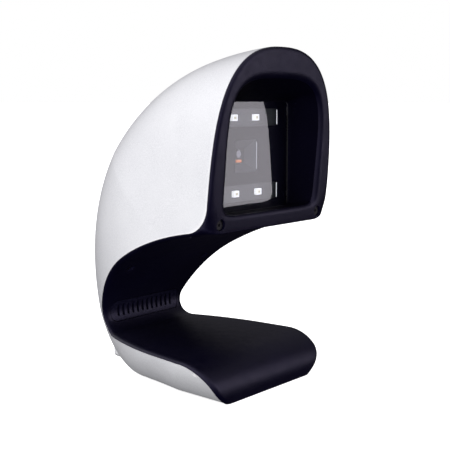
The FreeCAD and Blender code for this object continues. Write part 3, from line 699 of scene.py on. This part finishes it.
def plain_look(name, tone, rough, grain=2500, stretch=None, contrast=0.15, depth=0.004, **settings):
    """A general finish: slight colour variation, uneven gloss and a fine grain."""
    look = Look(name, **settings)
    tones = between(scaled(tone, 1 - contrast), scaled(tone, 1 + contrast))
    look.colour(look.ramp(look.noise(grain * 0.3, 4, stretch=stretch), tones))
    patches = look.noise(grain * 0.2, 3, stretch=stretch)
    look.roughness(look.spread(patches, rough * 0.85, min(1, rough * 1.15)))
    look.bump(look.noise(grain, 3, stretch=stretch), depth)
    return look.material


def light_plate():
    """The plate behind the window: dark, with painted light making the walls of the camera's funnel a lighter
    grey.
    """
    look = Look("plate_plastic", IOR=1.2)
    dark = look.ramp(look.noise(60, 4), between((0.002, 0.0015, 0.006), (0.003, 0.0025, 0.009)))
    # painted light: a lighter grey for the funnel's walls, where light from the front would fall
    pale = look.ramp(look.noise(200, 3), between((0.06, 0.06, 0.07), (0.08, 0.08, 0.09)))
    parts = look.tree.nodes.new("ShaderNodeSeparateXYZ")
    look.link(look.place, parts, "Vector")
    behind = look.spread(parts.outputs["Y"], 0, 1, FUNNEL_LIGHT_START * MM, FUNNEL_LIGHT_FULL * MM)
    bottom, top = FUNNEL_Z - FUNNEL_LIGHT_HALF, FUNNEL_Z + FUNNEL_LIGHT_HALF
    above = look.spread(parts.outputs["Z"], 0, 1, (bottom - FUNNEL_LIGHT_FADE) * MM, bottom * MM)
    below = look.spread(parts.outputs["Z"], 1, 0, top * MM, (top + FUNNEL_LIGHT_FADE) * MM)
    # where the painted light on the funnel's walls goes
    inside = look.times(look.times(behind, above), below)
    look.colour(look.mix(inside, dark, pale))
    look.roughness(look.spread(look.noise(240, 4), 0.42, 0.52))
    look.bump(look.cells(2200), 0.015)
    return look.material


def clear_pane(name, tint, ior, rough):
    """A clear pane: see-through, with a mirror layer on its front that grows at grazing angles."""
    look = Look(name)
    tree = look.tree
    tree.nodes.remove(look.shader)
    clear = tree.nodes.new("ShaderNodeBsdfTransparent")
    look.shader = clear
    look.link(look.ramp(look.noise(40, 2), between(tint, scaled(tint, 1.02))), clear, "Color")
    gloss = tree.nodes.new("ShaderNodeBsdfGlossy")
    look.link(look.spread(look.noise(300, 3), rough * 0.7, rough * 1.3), gloss, "Roughness")
    fresnel = tree.nodes.new("ShaderNodeFresnel")
    fresnel.inputs["IOR"].default_value = ior
    facing = tree.nodes.new("ShaderNodeNewGeometry")
    front = tree.nodes.new("ShaderNodeMath")
    front.operation = "SUBTRACT"
    front.inputs[0].default_value = 1.0
    look.link(facing.outputs["Backfacing"], front, 1)
    blend = tree.nodes.new("ShaderNodeMixShader")
    look.link(look.times(fresnel.outputs["Fac"], front.outputs["Value"]), blend, "Fac")
    look.link(clear.outputs["BSDF"], blend, 1)
    look.link(gloss.outputs["BSDF"], blend, 2)
    look.link(blend.outputs["Shader"], tree.nodes["Material Output"], "Surface")
    return look.material


def glowing(name, tone, strength):
    """A small part that glows a little: a light part such as an LED, or a strip that paints a highlight."""
    look = Look(name, IOR=1.5, Emission_Strength=strength)
    light = look.ramp(look.noise(2500, 2), between(scaled(tone, 0.9), tone))
    look.colour(light)
    look.link(light, look.shader, "Emission Color")
    look.roughness(look.spread(look.noise(3000, 2), 0.25, 0.35))
    look.bump(look.noise(2500, 2), 0.01)
    return look.material


INNER_TONE = (0.02, 0.02, 0.022)
LOOKS = {
    "silver_paint": silver_paint(),
    "black_plastic": moulded_black("black_plastic", (0.0008, 0.0006, 0.0050), (0.38, 0.48), ior=1.37),
    # hood walls: a matt finish, and a darker tone than the bezel's black that paints shade
    "hood_black": moulded_black("hood_black", (0.0008, 0.0006, 0.0030), (0.62, 0.72), ior=1.12),
    "base_plastic": moulded_black("base_plastic", (0.006, 0.006, 0.007), (0.55, 0.65)),
    "plate_plastic": light_plate(),
    "inner_plastic": moulded_black("inner_plastic", INNER_TONE, (0.5, 0.6), grain=1800, depth=0.02),
    "socket_plastic": moulded_black("socket_plastic", INNER_TONE, (0.35, 0.45), grain=2500, depth=0.01),
    "foot_rubber": plain_look("foot_rubber", (0.03, 0.03, 0.032), 0.8, depth=0.03, contrast=0.25),
    "gasket_rubber": plain_look("gasket_rubber", (0.012, 0.012, 0.013), 0.75, depth=0.02),
    "window_glass": clear_pane("window_glass", (0.93, 0.94, 0.96), 1.8, 0.03),
    "lens_glass": plain_look("lens_glass", (0.05, 0.045, 0.07), 0.06, grain=600, IOR=1.6, Coat_Weight=0.6),
    "lens_metal": plain_look("lens_metal", (0.05, 0.05, 0.055), 0.35, stretch=(1, 12, 1), Metallic=0.8),
    "led_board": plain_look("led_board", (0.03, 0.033, 0.036), 0.35, contrast=0.3),
    "circuit_board": plain_look("circuit_board", (0.02, 0.12, 0.05), 0.35, contrast=0.3),
    "chip_epoxy": plain_look("chip_epoxy", (0.03, 0.03, 0.03), 0.5, depth=0.01),
    "led_white": glowing("led_white", (0.95, 0.95, 0.95), 0.7),
    # painted highlight: a glowing grey for the funnel's bright edge
    "plate_edge_highlight": glowing("plate_edge_highlight", (0.50, 0.50, 0.54), 0.35),
    "led_phosphor": glowing("led_phosphor", (0.62, 0.58, 0.42), 0.35),
    "led_amber": glowing("led_amber", (0.9, 0.28, 0.08), 0.25),
    "flat_cable": plain_look("flat_cable", (0.7, 0.7, 0.66), 0.4, stretch=(8, 1, 1)),
    "ballast_steel": plain_look("ballast_steel", (0.45, 0.45, 0.46), 0.35, stretch=(1, 10, 1), Metallic=1.0),
    "screw_steel": plain_look("screw_steel", (0.55, 0.55, 0.56), 0.3, Metallic=1.0),
    "screw_black": plain_look("screw_black", (0.012, 0.011, 0.014), 0.5, Metallic=0.2, IOR=1.3),
}


def finish_piece(obj, slot, *nodes, look=None):
    """Paints a piece, by its slot unless look names a finish, hangs it on the root body, and hides the CAD
    nodes it stands for.
    """
    obj.data.materials.clear()
    obj.data.materials.append(LOOKS[look or slot])
    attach(obj, ROOT)
    if nodes:
        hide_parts(*nodes)
    return obj


def paint_nodes():
    """Gives every CAD node the look of its slot in the record."""
    slots = {part["node"]: part["material_slot"] for part in frame["record"]["subparts"]}
    for name, node in frame["nodes"].items():
        node.data.materials.clear()
        node.data.materials.append(LOOKS[slots[name]])
        smooth(node, NODE_CREASE)


# ---------------------------------------------------------------- assembly

CHIN_SCREW = (34.4, 79.6)                         # how far across, and its height
COVER_SCREW = (25.8, 17.1, 51.9)
COVER_TILT = math.radians(40.5)
RECESS, RECESS_REACH = 2.5, 6.0
CORNER_STEPS = 8
LIP_Y, BEAD, BEAD_SINK = -34.5, 0.55, 0.3         # the bead's place, its radius, and the share that is sunk
BEAD_TURNS, BEAD_STEP = 9, 4.0
LED_WIDTH, DIE_EDGE, DIE_FRONT, DIE_BACK = 3.3, 0.75, 0.06, 0.2
SLOT_END, SLOT_HALF = 22.4, 3.4
FUNNEL_SIDE, FUNNEL_TALL = 7.4, 6.2
BRIGHT_HALF, BRIGHT_DEEP, BRIGHT_PROUD = 0.10, 0.3, 0.1
OUTLET_CORNER, OUTLET_WALL, OUTLET_EDGE = 2.4, 1.5, 0.6
OUTLET_FRONT, OUTLET_INSIDE = OUTLET_BACK - 14, OUTLET_BACK - 20
JACK_HALF, JACK_LOW, JACK_HIGH, JACK_CORNER, JACK_REACH = 6.3, 4.0, 11.6, 0.5, 5.0
GRILLE_HALF, GRILLE_LOW, GRILLE_HIGH, GRILLE_CORNER = 23.35, 22.15, 32.85, 3.3
GRILLE_FRONT, GRILLE_BACK = 10.0, 50.0


def screw_recess(name, centre, axis):
    """A cutter for the round recess of a screw."""
    profile = [(0, -RECESS_REACH), (RECESS, -RECESS_REACH), (RECESS, RECESS_REACH), (0, RECESS_REACH)]
    return lathe(name, profile, centre, axis)


def rounded_bar(name, half, low, high, front, back, corner):
    """A bar along Y with rounded corners: half its width, its heights, and where it starts and ends."""
    turns = np.linspace(0, 2 * math.pi, 4 * CORNER_STEPS, endpoint=False)
    middle, tall = (low + high) / 2, (high - low) / 2
    across = np.cos(turns) * corner + np.sign(np.cos(turns)) * (half - corner)
    up = middle + np.sin(turns) * corner + np.sign(np.sin(turns)) * (tall - corner)
    rows = [np.stack([across, np.full(len(turns), y), up], -1) for y in (front, back)]
    faces = grid_faces(2, len(turns), wrap=True, flip=True)
    faces += [tuple(range(len(turns))), tuple(range(2 * len(turns) - 1, len(turns) - 1, -1))]
    return mesh_object(name, np.concatenate(rows), faces)


def outlet_boss():
    """The silver boss at the back of the base, around the cable socket."""
    boss = rounded_bar("outlet_boss", OUTLET_HALF, FOOT_LIFT, OUTLET_TOP, OUTLET_FRONT, OUTLET_BACK,
                       OUTLET_CORNER)
    edge = boss.modifiers.new("edge", "BEVEL")
    edge.width = OUTLET_EDGE * MM
    edge.segments = BEVEL_STEPS
    edge.limit_method = "ANGLE"
    bake_modifiers(boss)
    inner = rounded_bar("outlet_inside", OUTLET_HALF - OUTLET_WALL, FOOT_LIFT + OUTLET_WALL,
                        OUTLET_TOP - OUTLET_WALL, OUTLET_INSIDE, OUTLET_BACK - OUTLET_WALL,
                        OUTLET_CORNER - OUTLET_WALL / 2)
    mouth = rounded_bar("jack_mouth", JACK_HALF, JACK_LOW, JACK_HIGH, OUTLET_BACK - JACK_REACH,
                        OUTLET_BACK + JACK_REACH, JACK_CORNER)
    return cut_away(boss, [inner, mouth])


def lip_under_head():
    """A low bead across the underside, where the bezel's part of the head ends."""
    mouth, seam = after_chin(FOOT_LIFT)
    place = int(np.argmin(np.abs(mouth[:, 0] - LIP_Y)))
    along = (mouth[place + 1] - mouth[place]) / np.linalg.norm(mouth[place + 1] - mouth[place])
    out = np.array([along[1], -along[0]])
    half = half_width_at(seam[place]) - UNDER_ROUND
    turns = np.linspace(0, math.pi, BEAD_TURNS)[:, None]
    side = mouth[place] + BEAD * (np.cos(turns) * along + (np.sin(turns) - BEAD_SINK) * out)
    rows = [to_3d(np.full(BEAD_TURNS, x), side) for x in steps(-half, half, BEAD_STEP)]
    faces = grid_faces(len(rows), BEAD_TURNS, wrap=True)
    last = (len(rows) - 1) * BEAD_TURNS
    faces += [tuple(range(BEAD_TURNS))[::-1], tuple(range(last, last + BEAD_TURNS))]
    return smooth(mesh_object("bezel_lip", np.concatenate(rows), faces))


def highlight_strip(name, x, z, tall, proud=0.0):
    """A thin upright strip on the light plate that glows: a painted highlight where an edge catches the
    light.
    """
    return slab_piece(name, (x - BRIGHT_HALF, PLATE_FRONT - proud, z - tall),
                      (x + BRIGHT_HALF, PLATE_FRONT + BRIGHT_DEEP, z + tall))


def light_plate_details():
    """The small things behind the window: LED dies, and glowing strips that paint highlights on the edges of
    the slots and the funnel.
    """
    for name in ("upper", "lower"):
        low, high = (np.array(corner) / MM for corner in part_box("leds_" + name))
        for side, start in (("left", low[0]), ("right", high[0] - LED_WIDTH)):
            die = slab_piece("die_%s_%s" % (name, side),
                             (start + DIE_EDGE, low[1] - DIE_FRONT, low[2] + DIE_EDGE),
                             (start + LED_WIDTH - DIE_EDGE, low[1] + DIE_BACK, high[2] - DIE_EDGE))
            finish_piece(die, "led_white", look="led_phosphor")
        middle = (low[2] + high[2]) / 2
        for side, sign in (("left", -1), ("right", 1)):
            # the slot ends glow in the LED white: painted highlights
            edge = highlight_strip("slot_end_highlight_%s_%s" % (name, side), sign * SLOT_END, middle, SLOT_HALF)
            finish_piece(edge, "led_white")
    # the funnel's edge glows: a painted highlight
    edge = highlight_strip("funnel_edge_highlight", FUNNEL_SIDE, FUNNEL_Z, FUNNEL_TALL, BRIGHT_PROUD)
    finish_piece(edge, "plate_plastic", look="plate_edge_highlight")


def build_skins():
    """The three skins with their cuts, the boss, and the small pieces."""
    cover, bezel, shell = front_cover(), bezel_hood(), outer_shell()
    chin_y = CHIN[0] - (CHIN_SCREW[1] - CHIN_Z) * math.tan(BEZEL_LEAN)
    cut_away(bezel, [screw_recess("chin_cut", (side * CHIN_SCREW[0], chin_y, CHIN_SCREW[1]), (0, 1, 0))
                     for side in (-1, 1)])
    tilt = (0, math.sin(COVER_TILT), math.cos(COVER_TILT))
    cut_away(cover, [screw_recess("cover_cut", (side * COVER_SCREW[0], *COVER_SCREW[1:]), tilt)
                     for side in (-1, 1)])
    cut_away(cover, [rounded_bar("grille_cut", GRILLE_HALF, GRILLE_LOW, GRILLE_HIGH, GRILLE_FRONT,
                                 GRILLE_BACK, GRILLE_CORNER)])
    finish_piece(smooth(cover), "black_plastic", "front_cover")
    finish_piece(smooth(outlet_boss()), "silver_paint", "outer_shell")
    finish_piece(lip_under_head(), "black_plastic")
    light_plate_details()
    finish_piece(smooth(bezel), "black_plastic", "bezel_hood")
    bezel.data.materials.append(LOOKS["hood_black"])
    shade_hood_walls(bezel)
    finish_piece(smooth(shell), "silver_paint", "outer_shell")


# ---------------------------------------------------------------- studio

CAMERA_PLACE = Vector((-0.3139, -0.2977, 0.1310))
CAMERA_TURN, CAMERA_DIP = math.radians(-48.6), math.radians(7.8)
LENS, SENSOR = 72.0, 36.0
CLIP_NEAR, CLIP_FAR = 0.01, 200.0
WORLD_AXIS = Vector((-0.70, 0.18, 0.70)).normalized()
WORLD_LIGHT, WORLD_DARK, WORLD_STRENGTH = (0.985, 0.975, 1.0), (0.012, 0.011, 0.016), 1.13
WORLD_LOW, WORLD_HIGH = -0.20, 0.50               # where the room goes from dark to white, along its axis
CARD_TURN, CARD_DISTANCE = math.radians(48.6), 0.60  # the card stands this far round to the right
CARD_SIZE, CARD_SIDE, CARD_HEIGHT = (0.28, 0.56), -0.159, 0.250
CARD_LEAN, CARD_POWER, CARD_COLOUR = math.radians(10.8), 1.35, (0.96, 0.92, 1.0)
KEY_PLACE, KEY_SIZE, KEY_POWER = (-0.45, 0.10, 0.75), (0.8, 0.8), 2.2
FILL_PLACE, FILL_SIZE, FILL_POWER = (-0.70, -0.35, -0.10), (0.5, 0.5), 6.0
LIT_POINT = (0, 0, 0.08)
FLOOR, FLOOR_GLOW = 60000.0, 0.85


def build_camera():
    """The camera, a little above the chin on the near side, looking slightly down."""
    data = bpy.data.cameras.new("camera")
    data.lens, data.sensor_width = LENS, SENSOR
    data.clip_start, data.clip_end = CLIP_NEAR, CLIP_FAR
    camera = bpy.data.objects.new("camera", data)
    bpy.context.scene.collection.objects.link(camera)
    level = math.cos(CAMERA_DIP)
    look = Vector((-math.sin(CAMERA_TURN) * level, math.cos(CAMERA_TURN) * level, -math.sin(CAMERA_DIP)))
    camera.location = CAMERA_PLACE
    camera.rotation_euler = look.to_track_quat("-Z", "Y").to_euler()
    bpy.context.scene.camera = camera


def area_light(name, place, target, size, power, colour=(1, 1, 1)):
    """A rectangular light that faces its target."""
    data = bpy.data.lights.new(name, "AREA")
    data.shape = "RECTANGLE"
    data.size, data.size_y = size
    data.energy = power
    data.color = colour
    light = bpy.data.objects.new(name, data)
    bpy.context.scene.collection.objects.link(light)
    light.location = place
    light.rotation_euler = (Vector(target) - Vector(place)).to_track_quat("-Z", "Y").to_euler()
    return light


def build_world():
    """Soft room light, white at the upper left and dark at the lower right. The camera sees plain white."""
    world = bpy.data.worlds.new("studio")
    bpy.context.scene.world = world
    world.use_nodes = True
    nodes, links = world.node_tree.nodes, world.node_tree.links
    place = nodes.new("ShaderNodeTexCoord")
    along = nodes.new("ShaderNodeVectorMath")
    along.operation = "DOT_PRODUCT"
    along.inputs[1].default_value = WORLD_AXIS
    links.new(place.outputs["Generated"], along.inputs[0])
    share = nodes.new("ShaderNodeMapRange")
    share.inputs["From Min"].default_value, share.inputs["From Max"].default_value = WORLD_LOW, WORLD_HIGH
    links.new(along.outputs["Value"], share.inputs["Value"])
    ramp = nodes.new("ShaderNodeValToRGB")
    ramp.color_ramp.elements[0].color = (*WORLD_DARK, 1)
    ramp.color_ramp.elements[1].color = (*WORLD_LIGHT, 1)
    links.new(share.outputs["Result"], ramp.inputs["Fac"])
    room = nodes["Background"]
    links.new(ramp.outputs["Color"], room.inputs["Color"])
    room.inputs["Strength"].default_value = WORLD_STRENGTH
    backdrop = nodes.new("ShaderNodeBackground")
    backdrop.inputs["Color"].default_value = (1, 1, 1, 1)
    rays, blend = nodes.new("ShaderNodeLightPath"), nodes.new("ShaderNodeMixShader")
    links.new(rays.outputs["Is Camera Ray"], blend.inputs["Fac"])
    links.new(room.outputs["Background"], blend.inputs[1])
    links.new(backdrop.outputs["Background"], blend.inputs[2])
    links.new(blend.outputs["Shader"], nodes["World Output"].inputs["Surface"])


def build_floor():
    """A plain white floor that gives the scanner neither light nor reflection."""
    corners = [(-FLOOR, -FLOOR, 0), (FLOOR, -FLOOR, 0), (FLOOR, FLOOR, 0), (-FLOOR, FLOOR, 0)]
    floor = mesh_object("floor", corners, [(0, 1, 2, 3)])
    look = Look("floor_paper", Roughness=0.95, Emission_Color=(1, 1, 1, 1), Emission_Strength=FLOOR_GLOW)
    look.colour(look.ramp(look.noise(30, 3), between((0.90, 0.90, 0.90), (0.92, 0.92, 0.92))))
    look.bump(look.noise(1500, 3), 0.02)
    floor.data.materials.append(look.material)
    floor.visible_diffuse = False
    floor.visible_glossy = False
    floor.visible_shadow = False


def build_card():
    """A tall pale card to the right of the front, leaning a little, that the window mirrors."""
    ahead_of = Vector((math.sin(CARD_TURN), -math.cos(CARD_TURN), 0))
    beside = Vector((math.cos(CARD_TURN), math.sin(CARD_TURN), 0))
    place = ahead_of * CARD_DISTANCE + beside * CARD_SIDE + Vector((0, 0, CARD_HEIGHT))
    card = area_light("front_card", place, place - ahead_of, CARD_SIZE, CARD_POWER, CARD_COLOUR)
    lean = Matrix.Rotation(CARD_LEAN, 3, ahead_of)
    card.rotation_euler = (lean @ card.rotation_euler.to_matrix()).to_euler()


def build_studio():
    """The room, the floor and the lights."""
    bpy.context.scene.view_settings.view_transform = "Standard"
    build_world()
    build_floor()
    build_card()
    area_light("key", KEY_PLACE, LIT_POINT, KEY_SIZE, KEY_POWER)
    area_light("fill", FILL_PLACE, LIT_POINT, FILL_SIZE, FILL_POWER).visible_glossy = False


build_camera()
build_studio()
paint_nodes()
build_skins()
